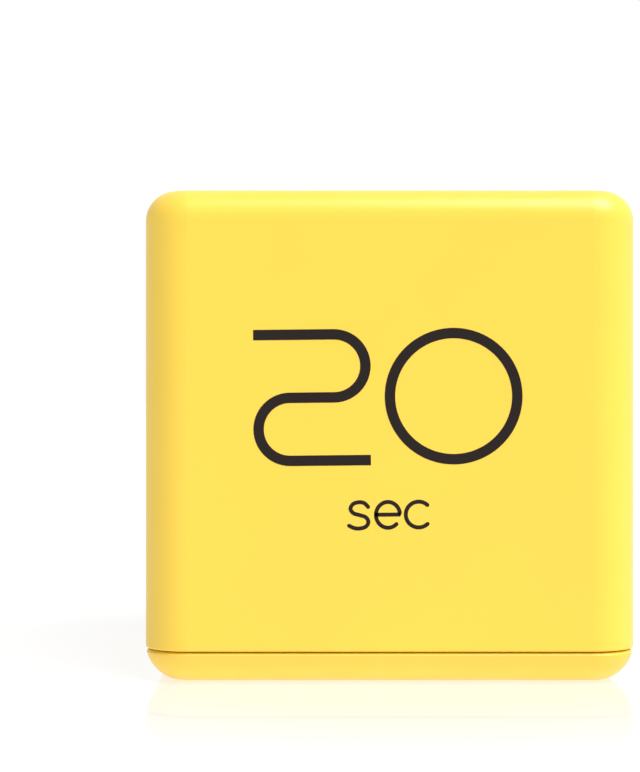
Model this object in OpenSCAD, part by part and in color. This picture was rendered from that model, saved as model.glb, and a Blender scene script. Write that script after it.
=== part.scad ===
// Gravity cube timer: a rounded plastic cube that counts down the time on whichever side is turned up.
// A five-sided shell closes over a base cover that holds the battery bay, the sound switch and the buzzer.
// The display and its circuit board hang inside the top face.
// Millimetres, +Z up, origin at the middle of the base, the side marked 20 faces -Y.

/* [Case] */
// Width and depth of the cube
case_w = 66; // [64:0.5:76]
// Height of the cube
case_h = 66; // [60:0.5:76]
// Wall thickness of the shell
wall = 1.8; // [1.6:0.1:2.4]
// Plan radius of the four upright edges
edge_r = 6; // [5.5:0.25:8]
// Radius of the edge round the top face
top_r = 4; // [2.5:0.25:5]
// Radius of the edge round the underside
base_r = 5; // [3.5:0.25:5.25]
// Height of the base cover's rim, where the seam is
seam_z = 4.25; // [3.9:0.05:6]
// Open width of the seam between the shell and the base cover
seam_gap = 0.15; // [0.05:0.05:0.4]
// How far the base cover's rim stands in from the shell's faces
seam_step = 0.1; // [0.05:0.01:0.3]
// Rounding of the shell's edge at the seam
seam_edge_r = 0.3; // [0.15:0.05:0.6]
// Rounding of the base cover's edge at the seam
rim_edge_r = 0.55; // [0.3:0.05:0.7]
// Height of the stiffening ribs on the shell's inner walls
rib_h = 0.8; // [0.4:0.1:1.2]
// Thickness of those ribs
rib_t = 1; // [0.8:0.1:1.4]
// Distance of each rib from the middle of its wall
rib_offset = 10; // [6:1:14]

/* [Base cover] */
// Thickness of the base plate
plate_t = 2.4; // [2.2:0.1:3]
// Thickness of the lip that locates inside the shell
lip_t = 1.2; // [0.9:0.1:1.6]
// Height of the lip above the seam
lip_h = 2.5; // [1.5:0.1:4]
// Clearance between the lip and the shell wall
lip_fit = 0.12; // [0.08:0.01:0.25]
// Radius inside the tray, where the floor meets the rim
tray_r = 1.5; // [0.8:0.1:2]

/* [Case screws] */
// Distance from the cube's faces to each case screw
screw_inset = 7.5; // [7:0.1:8]
// Thread diameter of the case screws
case_screw_d = 2.6; // [2.2:0.1:3]
// Length of the case screws under the head
case_screw_l = 10; // [8:0.5:14]
// Head diameter of the case screws
case_head_d = 4.6; // [4.2:0.1:4.8]
// Head height of the case screws
case_head_h = 1.7; // [1.2:0.1:2]
// Height of the seat under each screw head
head_seat_z = 3.4; // [3.2:0.1:4.2]
// Radius of the shell's screw pillars
pillar_r = 2.6; // [2.4:0.1:3]
// Thickness of the webs that tie the pillars to the walls
web_t = 1; // [0.8:0.1:1.4]
// Radius of the base cover's screw posts
post_r = 3.4; // [3.2:0.1:3.8]
// Rise of the posts above the lip, where they meet the pillars
post_rise = 0.5; // [0.2:0.1:2]
// Radial clearance of a screw head in its counterbore
head_clear = 0.2; // [0.15:0.05:0.35]
// Radial clearance of a screw in a through hole
through_clear = 0.2; // [0.1:0.05:0.4]
// Radial clearance drawn between a screw and its pilot bore
pilot_clear = 0.03; // [0.02:0.01:0.06]

/* [Display] */
// Width of the clear window
window_w = 40; // [38:0.5:44]
// Depth of the clear window
window_d = 22; // [20:0.5:24]
// Thickness of the clear window
window_t = 0.8; // [0.6:0.1:0.9]
// Corner radius of the clear window
window_r = 2.5; // [1:0.25:4]
// Width of the ledge that carries the window
ledge_w = 2; // [1.5:0.1:3]
// Thickness of the adhesive frame under the window
tape_t = 0.1; // [0.05:0.05:0.2]
// Gap round the edge of the window
window_gap = 0.12; // [0.05:0.01:0.2]
// Depth of the window's face below the top of the cube
window_sink = 0.1; // [0:0.05:0.3]
// Width of the display glass
lcd_w = 42; // [40:0.5:44]
// Depth of the display's upper glass
lcd_d = 26; // [25:0.5:27]
// Depth of the display's lower glass
lcd_lower_d = 19.2; // [18.5:0.1:19.6]
// Thickness of each display glass
glass_t = 1.1; // [0.7:0.1:1.3]
// Thickness of the reflector behind the display
reflector_t = 0.2; // [0.1:0.05:0.3]
// Height of the conductive rubber strips
zebra_h = 5; // [4:0.1:7]
// Thickness of the conductive rubber strips
zebra_t = 2; // [1.6:0.1:2.2]
// Clearance of the glass and the strips in the display holder
holder_fit = 0.1; // [0.05:0.01:0.2]
// Wall of the display holder beyond the glass
holder_wall = 1.8; // [1.2:0.1:2.2]

/* [Circuit board] */
// Width of the main board
pcb_w = 50; // [48:0.5:52]
// Depth of the main board
pcb_d = 44; // [42:0.5:46]
// Thickness of the boards
pcb_t = 1.6; // [1:0.1:2]
// Distance from the board's ends to its screws, along X
pcb_hole_in_x = 3; // [2.5:0.1:3.5]
// Distance from the board's front and rear edges to its screws
pcb_hole_in_y = 4; // [3.5:0.1:4.5]
// Thread diameter of the small screws
small_screw_d = 1.7; // [1.4:0.1:2]
// Length of the small screws under the head
small_screw_l = 5.5; // [4:0.5:7]
// Head diameter of the small screws
small_head_d = 3.4; // [3:0.1:3.8]
// Head height of the small screws
small_head_h = 1.3; // [1:0.1:1.6]
// Radius of the posts that take the small screws
small_post_r = 2.3; // [2:0.1:2.5]

/* [Tilt sensor] */
// Width of the tilt sensor
tilt_w = 7.4; // [7:0.1:9]
// Height of the tilt sensor's moulding
tilt_h = 4; // [3.6:0.1:5]
// Thickness of the tilt sensor's lid
tilt_lid_t = 0.5; // [0.3:0.1:0.8]
// Diameter of the rolling ball
ball_d = 2.4; // [2:0.1:2.5]
// Radius of the post that the ball rolls round
race_post_r = 0.5; // [0.3:0.05:0.7]
// Running clearance round the ball
ball_clear = 0.08; // [0.05:0.01:0.12]
// Place of the tilt sensor along X
tilt_x = 2; // [0:0.5:4]
// Place of the tilt sensor along Y
tilt_y = -12; // [-15:0.5:-10]

/* [Battery bay] */
// Diameter of an AAA cell
cell_d = 10.5; // [9.5:0.1:10.5]
// Length of an AAA cell with its positive nub
cell_l = 44.5; // [43.3:0.1:44.5]
// Diameter of the positive nub
nub_d = 3.8; // [3:0.1:3.8]
// Height of the positive nub
nub_h = 0.9; // [0.8:0.1:1.2]
// Distance between the two cells' axes
cell_pitch = 11; // [10.8:0.1:11.1]
// Radial clearance of a cell in its trough
cell_clear = 0.35; // [0.25:0.05:0.5]
// Gap between the cells and the battery door
cell_lift = 1; // [0.8:0.1:2]
// Wall of the battery bay
bay_wall = 1.3; // [1.2:0.1:1.6]
// Gap between the bay and the rear screw posts
bay_gap = 1.4; // [1:0.1:2]
// Thickness of the contact plates
contact_t = 0.4; // [0.3:0.05:0.5]
// Width of the contact plate for one cell
contact_w = 8.6; // [7.6:0.1:8.8]
// Height of the lower edge of the contact plates
contact_z = 4.8; // [4.6:0.1:5.4]
// Height of the contact plates above the cells' axes
contact_up = 4.2; // [3.5:0.1:4.4]
// Height of the dimple that meets a positive nub
dimple_h = 0.6; // [0.4:0.1:0.8]
// Width of the solder tabs
tab_w = 3; // [2.5:0.1:3.5]
// Rise of the solder tabs above the bay
tab_rise = 1.6; // [1:0.1:3]
// Length of a contact spring with its cell in place
spring_l = 4.2; // [3.8:0.1:5]
// Wire diameter of the contact springs
spring_wire = 0.6; // [0.5:0.05:0.7]
// Diameter of a spring's first turn, at its plate
spring_big_d = 7.6; // [7:0.1:8]
// Diameter of a spring's last turn, at its cell
spring_small_d = 4.4; // [4:0.1:5]
// Number of turns in a contact spring
spring_turns = 3.5; // [3:0.25:3.75]

/* [Battery door] */
// Thickness of the battery door
door_t = 1.6; // [1.4:0.1:1.8]
// Depth of the door's face below the base
door_recess = 0.2; // [0.1:0.05:0.4]
// Gap round the edge of the door
door_gap = 0.25; // [0.2:0.05:0.4]
// Gap between the door and the ledge that it closes on
door_seat = 0.1; // [0.05:0.01:0.2]
// How far the door laps over the bay's walls
door_lap = 1; // [0.6:0.1:1.1]
// Corner radius of the door
door_r = 1.5; // [1:0.1:3]
// Rounding of the door's outer edge
door_edge_r = 0.3; // [0.1:0.05:0.5]
// Width of each hinge tongue
tongue_w = 2.4; // [2:0.1:3]
// Thickness of each hinge tongue
tongue_t = 1; // [0.8:0.1:1.1]
// Reach of each tongue past the door's edge
tongue_reach = 1.4; // [1:0.1:1.6]
// Gap between the tongues and the plate that they hook over
tongue_gap = 0.15; // [0.1:0.01:0.2]
// Width of the latch finger
latch_w = 6; // [4:0.5:8]
// Thickness of the latch finger
latch_t = 1.1; // [0.9:0.1:1.2]
// Height of the latch finger above the door
latch_h = 2.2; // [1.8:0.1:2.4]
// Radius of the dish for a fingertip beside the latch
dish_r = 3.6; // [3:0.1:4]
// Depth of that dish
dish_h = 1.2; // [0.8:0.1:1.4]
// Distance of the dish's middle past the door pocket
dish_past = 0.6; // [0.3:0.1:1]
// Wall of the hoods that close the tongue slots inside the case
hood_wall = 1; // [0.8:0.1:1.2]
// Number of grip grooves across the door's face
grip_count = 4; // [3:1:6]
// Length of each grip groove
grip_l = 9; // [6:0.5:14]
// Width of each grip groove
grip_w = 0.7; // [0.5:0.05:0.9]
// Depth of each grip groove
grip_h = 0.4; // [0.2:0.05:0.6]
// Spacing of the grip grooves
grip_pitch = 1.7; // [1.4:0.1:2]
// Distance of the first grip groove from the latch end of the door
grip_in = 4.5; // [3:0.5:8]

/* [Sound switch] */
// Travel of the switch each way from its middle position
switch_travel = 2; // [1.5:0.1:2.2]
// Length of the switch knob, along its travel
knob_l = 4.5; // [3.5:0.1:4.6]
// Width of the switch knob
knob_w = 3.2; // [2.5:0.1:3.3]
// Clearance of the knob in its slot
knob_clear = 0.2; // [0.1:0.05:0.3]
// Depth of the knob's face below the base
knob_recess = 0.3; // [0.2:0.05:0.6]
// Depth of the dished recess round the knob
recess_h = 1; // [0.6:0.1:1.3]
// Width of that recess
recess_w = 6.6; // [5:0.1:8]
// Gap between the switch's metal frame and the base plate
frame_gap = 0.2; // [0.1:0.05:0.3]
// Length of the switch's metal frame
frame_l = 10.6; // [10.4:0.1:11]
// Width of the switch's metal frame
frame_w = 5.4; // [5.2:0.1:6]
// Height of the switch's metal frame
frame_h = 4; // [3.8:0.1:5]
// Sheet thickness of the frame
frame_t = 0.4; // [0.3:0.05:0.5]
// Height of the knob's block inside the frame
block_h = 1.4; // [1.2:0.1:1.5]
// Sheet thickness of the wiper that the knob carries
wiper_t = 0.25; // [0.2:0.05:0.3]
// Height of the wiper's two arches
wiper_h = 0.9; // [0.8:0.05:1]
// Width of the wiper
wiper_w = 3; // [2:0.1:3.6]
// Thickness of the insulator that closes the frame
insulator_t = 1; // [0.8:0.1:1.2]
// Gap between the frame and the screw posts beside it
post_gap = 0.1; // [0.05:0.05:0.4]
// Width of the switch's small board
switch_board_w = 9; // [8:0.5:10]
// Gap between the small board and the case's screw posts, along X
switch_gap = 0.6; // [0.3:0.1:1.5]

/* [Buzzer] */
// Gap between the buzzer's ring and the walls before and behind it
buzzer_gap = 1.7; // [1.2:0.1:3]
// Gap between the buzzer's ring and the switch's small board
pair_gap = 2.3; // [1:0.1:3]
// Thickness of the brass disc
buzzer_t = 0.3; // [0.2:0.05:0.4]
// Diameter of the ceramic layer as a share of the disc's
ceramic_share = 0.7; // [0.6:0.01:0.75]
// Thickness of the ceramic layer
ceramic_t = 0.25; // [0.2:0.05:0.4]
// Wall of the ring that carries the disc
buzzer_wall = 1.1; // [0.8:0.1:1.4]
// Depth of the sound chamber under the disc
chamber_h = 2; // [1.2:0.1:3]
// Diameter of each sound hole
sound_hole_d = 1.6; // [1:0.1:2]
// Radius of the ring of sound holes
sound_ring_r = 4; // [3:0.25:6]

/* [Leads] */
// Diameter of the insulated leads
lead_d = 1.2; // [0.9:0.1:1.4]
// Distance of the lead pads from the ends of the main board
pad_in = 4; // [3:0.5:5]
// Distance of the lead pads from the edge of the small board
small_pad_in = 1.5; // [1:0.1:2]
// Spacing of neighbouring lead pads
pad_pitch = 3; // [2.5:0.5:3.5]

/* [Hidden] */
$fn = 64;
// Overlap that lets a cut run clear through a face
slack = 0.5;
micron = 0.001;
// Depth that a rib or post is rooted in its wall
root = 0.4;
// Room past the tip of a screw in its pilot bore
tip_room = 0.5;
// Facets round a shallow dome's section, and round a lead and a spring's wire
dome_facets = 240;
lead_facets = 8;
wire_facets = 6;

case_yellow = "#FFE35B";
board_green = "#2F6B45";
bright_steel = "#C9CCD0";
nickel = "#D8D6CE";
black_plastic = "#2B2B2D";
white_plastic = "#ECECE6";

// Shell
shell_z = seam_z + seam_gap;
top_in = case_h - wall;
inner_w = case_w - 2 * wall;
inner_r = edge_r - wall;
inner_top_r = max(top_r - wall, seam_edge_r);

// Base cover
base_w = case_w - 2 * seam_step;
rim_draw = drawn_in(base_r, seam_z - rim_edge_r / 2);
rim_w = base_w + 2 * rim_draw;
rim_plan_r = edge_r - seam_step + rim_draw;
lip_w = inner_w - 2 * lip_fit;
lip_r = inner_r - lip_fit;
tray_w = lip_w - 2 * lip_t;
tray_plan_r = lip_r - lip_t;
lip_top = seam_z + lip_h;
post_top = lip_top + post_rise;
screw_xy = case_w / 2 - screw_inset;
case_screw_r = case_screw_d / 2;
case_screw_tip_z = head_seat_z + case_screw_l;

// Display stack, from the top wall down
window_top = case_h - window_sink;
tape_top = window_top - window_t;
ledge_z = tape_top - tape_t;
clear_w = window_w - 2 * ledge_w;
clear_d = window_d - 2 * ledge_w;
upper_glass_z = top_in - glass_t;
lower_glass_z = upper_glass_z - glass_t;
pcb_top = upper_glass_z - zebra_h;
pcb_z = pcb_top - pcb_t;
zebra_y = lcd_d / 2 - zebra_t / 2;
holder_w = lcd_w + 2 * holder_fit + 2 * holder_wall;
holder_d = lcd_d + 2 * holder_fit + 2 * holder_wall;
pcb_hole = [pcb_w / 2 - pcb_hole_in_x, pcb_d / 2 - pcb_hole_in_y];
small_screw_r = small_screw_d / 2;
board_r = 1.5;

// Places of the parts under the main board
chip_at = [-9, 2];
crystal_at = [-9, -9];
capacitor_at = [13, 6];
coil_at = [13, -6];
transistor_at = [5, 4];
resistors_at = [-2, 8];
resistor_pitch = 3;

// Tilt sensor
tilt_top = pcb_z;
tilt_lid_z = tilt_top - tilt_h;
ball_r = ball_d / 2;
race_r = race_post_r + ball_clear + ball_r;
race_out_r = race_r + ball_r + ball_clear;
ball_z = tilt_lid_z + ball_clear + ball_r;

// Battery door
door_top = door_recess + door_t;
door_seat_z = door_top + door_seat;

// Battery bay
trough_r = cell_d / 2 + cell_clear;
bay_l = cell_l + dimple_h + spring_l + 2 * contact_t;
bay_w = cell_pitch + 2 * trough_r;
bay_out_l = bay_l + 2 * bay_wall;
bay_out_w = bay_w + 2 * bay_wall;
bay_y = screw_xy - post_r - bay_gap - bay_out_w / 2;
cell_z = door_top + cell_lift + cell_d / 2;
bay_top = cell_z + trough_r + bay_wall;
contact_top = cell_z + contact_up;
contact_end_w = cell_pitch + contact_w;
tab_top = bay_top + tab_rise;
contact_in_x = bay_l / 2 - contact_t;
cell_near_x = contact_in_x - dimple_h;
cell_far_x = contact_in_x - spring_l;
rear_cell_y = bay_y + cell_pitch / 2;
front_cell_y = bay_y - cell_pitch / 2;

// Battery door in plan, with the gap that its latch and tongues keep from the bay's end walls
latch_clear = 0.2;
pocket_l = bay_l + 2 * door_lap;
pocket_w = bay_w + 2 * door_lap;
door_l = pocket_l - 2 * door_gap;
door_w = pocket_w - 2 * door_gap;
hinge_x = -door_l / 2;
tongue_z = plate_t + tongue_gap;
tongue_top = tongue_z + tongue_t;
tongue_neck_x = door_lap - door_gap + latch_clear;
tongue_neck_t = 1.2;
tongue_y = bay_w / 2 - tongue_w / 2 - 2 * door_gap;
tongue_swing = norm([tongue_reach, tongue_top - door_recess]) + door_recess;
tongue_slot_top = min(tongue_swing + door_gap, contact_z);
tongue_slot_w = tongue_w + 2 * door_gap;
hood_reach = door_l / 2 + tongue_reach + door_gap - bay_l / 2;
latch_bead_r = 0.4;

// Room in the front half of the base, between the rim and the battery bay
front_room = tray_w / 2 + bay_y - bay_out_w / 2;
front_y = (front_room - tray_w) / 2;

// Sound switch
slide_gap = 0.1;
slot_l = knob_l + 2 * switch_travel + 2 * knob_clear;
slot_w = knob_w + 2 * knob_clear;
recess_l = slot_l + recess_w / 2;
recess_r = 0.49 * recess_w;
frame_z = plate_t + frame_gap;
frame_top = frame_z + frame_h;
frame_in_l = frame_l - 2 * frame_t;
frame_in_w = frame_w - 2 * frame_t;
block_z = frame_z + frame_t + slide_gap;
block_top = block_z + block_h;
block_l = frame_in_l - 2 * switch_travel - 2 * slide_gap;
block_w = frame_in_w - 2 * slide_gap;
switch_post_x = frame_l / 2 + post_gap + small_post_r;
switch_board_l = 2 * (switch_post_x + small_post_r);
switch_board_r = 1;
switch_board_top = frame_top + pcb_t;
switch_x = screw_xy - post_r - switch_gap - switch_board_l / 2;

// Buzzer, as large as the room beside the bay allows
buzzer_fit = 0.1;
buzzer_ring_r = front_room / 2 - buzzer_gap;
buzzer_d = 2 * (buzzer_ring_r - buzzer_wall - buzzer_fit);
ceramic_d = ceramic_share * buzzer_d;
buzzer_x = switch_x - switch_board_l / 2 - pair_gap - buzzer_ring_r;
buzzer_z = plate_t + chamber_h;
ceramic_z = buzzer_z + buzzer_t;

// Shared shapes

// What is cut off a square corner to leave an arc: the arc's centre is the origin, the corner lies at [r, -r]
module corner_waste(r) {
    difference() {
        translate([0, -r - slack]) square(r + slack);
        circle(r);
    }
}

// How far the arc of a lower rim has drawn in, at height z, from where its upright tangent would stand,
// to a whole micron, so that straight and turned stretches of the rim meet exactly
function drawn_in(r, z) = r > z ? round((r - sqrt(r * r - (r - z) * (r - z))) / micron) * micron : 0;

// Half section of a block: from the middle out to its reach, with the outer lower and upper corners rounded.
// Where the two arcs leave no straight length between them, they cross in a soft edge.
module edge_profile(reach, tall, low_r, high_r) {
    high_reach = reach - drawn_in(low_r, tall - high_r / 2);
    difference() {
        square([reach, tall]);
        if (low_r > 0) translate([reach - low_r, low_r]) corner_waste(low_r);
        if (high_r > 0) translate([high_reach - high_r, tall - high_r]) mirror([0, 1]) corner_waste(high_r);
    }
}

// Block on the origin plane whose upright edges, lower rim and upper rim are all rounded
module round_block(w, d, tall, plan_r, low_r, high_r) {
    for (x_side = [0, 1], y_side = [0, 1])
        mirror([x_side, 0, 0]) mirror([0, y_side, 0])
            translate([w / 2 - plan_r, d / 2 - plan_r, 0])
                rotate_extrude(angle = 90) edge_profile(plan_r, tall, low_r, high_r);
    rotate([90, 0, 90]) linear_extrude(w - 2 * plan_r, center = true)
        for (side = [0, 1]) mirror([side, 0]) edge_profile(d / 2, tall, low_r, high_r);
    rotate([90, 0, 0]) linear_extrude(d - 2 * plan_r, center = true)
        for (side = [0, 1]) mirror([side, 0]) edge_profile(w / 2, tall, low_r, high_r);
}

// Flat rectangle with round corners
module round_rect(w, d, r) {
    square([w - 2 * r, d], center = true);
    square([w, d - 2 * r], center = true);
    for (x = [-1, 1], y = [-1, 1]) translate([x * (w / 2 - r), y * (d / 2 - r)]) circle(r);
}

// Upright plate with a round_rect outline
module plate(w, d, r, z, tall) {
    translate([0, 0, z]) linear_extrude(tall) round_rect(w, d, r);
}

// Box centred in X and Y that stands on z
module box(w, d, z, tall) {
    translate([-w / 2, -d / 2, z]) cube([w, d, tall]);
}

module at_corners(x, y) {
    for (x_side = [-1, 1], y_side = [-1, 1]) translate([x_side * x, y_side * y, 0]) children();
}

// Pan head screw along +Z with its head below seat_z and a cross recess in the head
module pan_screw(seat_z, r, l, head_d, head_h) {
    tip_r = 0.3 * r;
    head_round = 0.5 * head_h;
    cross_l = 0.62 * head_d;
    cross_w = 0.16 * head_d;
    cross_h = 0.55 * head_h;
    difference() {
        union() {
            translate([0, 0, seat_z - slack / 2]) cylinder(r = r, h = l - r + slack / 2);
            translate([0, 0, seat_z + l - r]) cylinder(r1 = r, r2 = tip_r, h = r);
            translate([0, 0, seat_z - head_h]) rotate_extrude()
                edge_profile(head_d / 2, head_h, head_round, 0);
        }
        for (turn = [0, 90]) rotate(turn)
            box(cross_l, cross_w, seat_z - head_h - slack, slack + cross_h);
    }
}

// Shallow turned dome on the origin plane
module dome(r, tall) {
    ball = (r * r + tall * tall) / (2 * tall);
    rotate_extrude() intersection() {
        translate([0, tall - ball]) circle(ball, $fn = dome_facets);
        square([r, tall]);
    }
}

// Closed tube of triangles along a path; guide gives each ring a direction to start from
module tube(path, guide, r, sides) {
    last = len(path) - 1;
    rings = [for (i = [0 : last])
        let (ahead = path[min(i + 1, last)] - path[max(i - 1, 0)],
             t = ahead / norm(ahead),
             flat = guide[i] - (guide[i] * t) * t,
             n = flat / norm(flat),
             b = cross(t, n))
        for (k = [0 : sides - 1]) path[i] + r * (cos(360 * k / sides) * n + sin(360 * k / sides) * b)];
    walls = [for (i = [0 : last - 1], k = [0 : sides - 1])
        let (a = i * sides + k, c = i * sides + (k + 1) % sides)
        each [[a, a + sides, c], [c, a + sides, c + sides]]];
    near_cap = [for (k = [1 : sides - 2]) [0, k, k + 1]];
    far_cap = [for (k = [1 : sides - 2]) [last * sides, last * sides + k + 1, last * sides + k]];
    polyhedron(rings, concat(walls, near_cap, far_cap));
}

// Insulated lead that leaves one point upright and meets another upright, in the plane through both
module lead(from, to, leave, meet) {
    steps = 16;
    across = cross([0, 0, 1], to - from);
    path = [for (i = [0 : steps])
        let (t = i / steps, s = 1 - t)
        s * s * s * from + 3 * s * s * t * (from + [0, 0, leave])
            + 3 * s * t * t * (to + [0, 0, meet]) + t * t * t * to];
    tube(path, [for (p = path) across], lead_d / 2, lead_facets);
}

// Case

module main_shell() color(case_yellow) {
    difference() {
        union() {
            difference() {
                translate([0, 0, shell_z])
                    round_block(case_w, case_w, case_h - shell_z, edge_r, seam_edge_r, top_r);
                translate([0, 0, shell_z - slack])
                    round_block(inner_w, inner_w, top_in - shell_z + slack, inner_r, 0, inner_top_r);
            }
            screw_pillars();
            at_corners(pcb_hole[0], pcb_hole[1])
                translate([0, 0, pcb_top]) cylinder(r = small_post_r, h = top_in - pcb_top + root);
            wall_ribs();
        }
        at_corners(screw_xy, screw_xy) translate([0, 0, post_top - slack])
            cylinder(r = case_screw_r + pilot_clear, h = case_screw_tip_z - post_top + slack + tip_room);
        at_corners(pcb_hole[0], pcb_hole[1]) translate([0, 0, pcb_top - slack])
            cylinder(r = small_screw_r + pilot_clear, h = small_screw_l - pcb_t + slack + tip_room);
        plate(window_w + 2 * window_gap, window_d + 2 * window_gap, window_r + window_gap, ledge_z, wall);
        plate(clear_w, clear_d, window_r / 2, top_in - slack, wall + 2 * slack);
    }
}

// Four hollow pillars that take the case screws, each tied to its two walls
module screw_pillars() {
    tall = top_in - post_top + root;
    reach = inner_w / 2 - screw_xy + root;
    for (x_side = [0, 1], y_side = [0, 1]) mirror([x_side, 0, 0]) mirror([0, y_side, 0])
        translate([screw_xy, screw_xy, post_top]) {
            cylinder(r = pillar_r, h = tall);
            translate([0, -web_t / 2, 0]) cube([reach, web_t, tall]);
            translate([-web_t / 2, 0, 0]) cube([web_t, reach, tall]);
        }
}

// Two slim upright ribs on the inside of each wall
module wall_ribs() {
    for (turn = [0 : 90 : 270], side = [-1, 1]) rotate(turn)
        translate([inner_w / 2 - rib_h, side * rib_offset - rib_t / 2, post_top])
            cube([rib_h + root, rib_t, top_in - post_top + root]);
}

module base_cover() color(case_yellow) {
    difference() {
        union() {
            base_tray();
            at_corners(screw_xy, screw_xy) translate([0, 0, plate_t - root])
                cylinder(r = post_r, h = post_top - plate_t + root);
            bay_outside();
            translate([buzzer_x, front_y, 0]) buzzer_ring();
            translate([switch_x, front_y, 0]) switch_posts();
        }
        at_corners(screw_xy, screw_xy) screw_way();
        bay_inside();
        door_pocket();
        translate([buzzer_x, front_y, 0]) sound_holes();
        translate([switch_x, front_y, 0]) switch_way();
    }
}

// Rounded tray with the lip that locates inside the shell
module base_tray() {
    difference() {
        union() {
            round_block(rim_w, rim_w, seam_z, rim_plan_r, base_r, rim_edge_r);
            plate(lip_w, lip_w, lip_r, seam_z - root, lip_h + root);
        }
        translate([0, 0, plate_t])
            round_block(tray_w, tray_w, lip_top - plate_t + slack, tray_plan_r, tray_r, 0);
    }
}

module screw_way() {
    translate([0, 0, -slack]) cylinder(r = case_head_d / 2 + head_clear, h = head_seat_z + slack);
    translate([0, 0, -slack]) cylinder(r = case_screw_r + through_clear, h = post_top + 2 * slack);
}

// Two troughs side by side, closed at both ends, with a hood over each tongue slot
module bay_outside() {
    translate([0, bay_y, 0]) {
        for (side = [-1, 1]) translate([0, side * cell_pitch / 2, cell_z]) rotate([0, 90, 0])
            cylinder(r = trough_r + bay_wall, h = bay_out_l, center = true);
        box(bay_out_l, bay_out_w, plate_t - root, cell_z - plate_t + root);
        hood_l = hood_reach + hood_wall;
        hood_top = tongue_slot_top + hood_wall;
        for (side = [-1, 1]) translate([-bay_l / 2 - hood_l / 2, side * tongue_y, 0])
            box(hood_l, tongue_slot_w + 2 * hood_wall, plate_t - root, hood_top - plate_t + root);
    }
}

module bay_inside() {
    end_room = contact_t + spring_l;
    translate([0, bay_y, 0]) {
        for (side = [-1, 1]) translate([0, side * cell_pitch / 2, cell_z]) rotate([0, 90, 0])
            cylinder(r = trough_r, h = bay_l, center = true);
        box(bay_l, bay_w, door_recess, cell_z - door_recess);
        for (side = [-1, 1]) translate([side * (bay_l - end_room) / 2, 0, 0])
            box(end_room, contact_end_w + 2 * holder_fit, cell_z - slack, contact_up + slack + holder_fit);
        for (side = [-1, 1]) translate([contact_t / 2 - bay_l / 2, side * cell_pitch / 2, 0])
            box(contact_t + 2 * holder_fit, tab_w + 4 * holder_fit, contact_top - slack, tab_top - contact_top);
    }
}

// Recess for the battery door, slots for its two tongues and a dish for a fingertip
module door_pocket() {
    translate([0, bay_y, 0]) {
        plate(pocket_l, pocket_w, door_r + door_gap, -slack, door_seat_z + slack);
        for (side = [-1, 1]) translate([-bay_l / 2, side * tongue_y - tongue_slot_w / 2, 0]) {
            translate([-door_lap, 0, 0]) cube([door_lap + slack, tongue_slot_w, tongue_slot_top]);
            translate([-hood_reach, 0, plate_t])
                cube([hood_reach + slack, tongue_slot_w, tongue_slot_top - plate_t]);
        }
        dish_sphere_r = (dish_r * dish_r + dish_h * dish_h) / (2 * dish_h);
        translate([pocket_l / 2 + dish_past, 0, dish_h - dish_sphere_r]) sphere(r = dish_sphere_r);
    }
}

// Ring that holds the buzzer disc over its sound chamber
module buzzer_ring() {
    difference() {
        translate([0, 0, plate_t - root]) cylinder(r = buzzer_ring_r, h = chamber_h + root + 2 * buzzer_t);
        translate([0, 0, plate_t]) cylinder(r = buzzer_d / 2 - buzzer_wall, h = chamber_h + slack);
        translate([0, 0, buzzer_z]) cylinder(r = buzzer_d / 2 + buzzer_fit, h = chamber_h);
    }
}

module sound_holes() {
    for (turn = [0 : 60 : 300]) rotate(turn) translate([sound_ring_r, 0, -slack])
        cylinder(d = sound_hole_d, h = plate_t + 2 * slack);
    translate([0, 0, -slack]) cylinder(d = sound_hole_d, h = plate_t + 2 * slack);
}

module switch_posts() {
    for (side = [-1, 1]) translate([side * switch_post_x, 0, plate_t - root]) difference() {
        cylinder(r = small_post_r, h = frame_top - plate_t + root);
        translate([0, 0, frame_top - plate_t + root - small_screw_l + pcb_t - slack])
            cylinder(r = small_screw_r + pilot_clear, h = small_screw_l);
    }
}

// Slot for the knob with a shallow long recess round it, for a fingertip
module switch_way() {
    plate(recess_l, recess_w, recess_r, -slack, recess_h + slack);
    box(slot_l, slot_w, -slack, plate_t + 2 * slack);
}

module battery_door() color(case_yellow) {
    translate([0, bay_y, 0]) {
        difference() {
            translate([0, 0, door_recess]) round_block(door_l, door_w, door_t, door_r, door_edge_r, 0);
            for (i = [0 : grip_count - 1]) translate([door_l / 2 - grip_in - i * grip_pitch, 0, 0])
                box(grip_w, grip_l, door_recess - slack, slack + grip_h);
        }
        for (side = [-1, 1]) translate([hinge_x, side * tongue_y - tongue_w / 2, 0]) {
            translate([tongue_neck_x, 0, door_top - root])
                cube([tongue_neck_t, tongue_w, tongue_top - door_top + root]);
            translate([-tongue_reach, 0, tongue_z])
                cube([tongue_reach + tongue_neck_x + tongue_neck_t, tongue_w, tongue_t]);
        }
        translate([bay_l / 2 - latch_clear - latch_bead_r, -latch_w / 2, door_top]) {
            translate([-latch_t + latch_bead_r / 2, 0, -root]) cube([latch_t, latch_w, latch_h + root]);
            translate([0, 0, latch_h - 2 * latch_bead_r]) rotate([-90, 0, 0])
                cylinder(r = latch_bead_r, h = latch_w);
        }
    }
}

module case_screws() color(bright_steel) {
    at_corners(screw_xy, screw_xy) pan_screw(head_seat_z, case_screw_r, case_screw_l, case_head_d, case_head_h);
}

// Display

module window_lens() color("#DDE6E8", 0.4) {
    translate([0, 0, tape_top]) linear_extrude(window_t) round_rect(window_w, window_d, window_r);
}

module window_tape() color(black_plastic) {
    translate([0, 0, ledge_z]) linear_extrude(tape_t) difference() {
        round_rect(window_w, window_d, window_r);
        round_rect(clear_w, clear_d, window_r / 2);
    }
}

// Two glass plates, the lower one narrower so that the upper one shows its contact edges, and a reflector
module lcd_glass() color("#9BA595") {
    box(lcd_w, lcd_d, upper_glass_z, glass_t);
    box(lcd_w, lcd_lower_d, lower_glass_z - reflector_t, glass_t + reflector_t);
}

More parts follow.
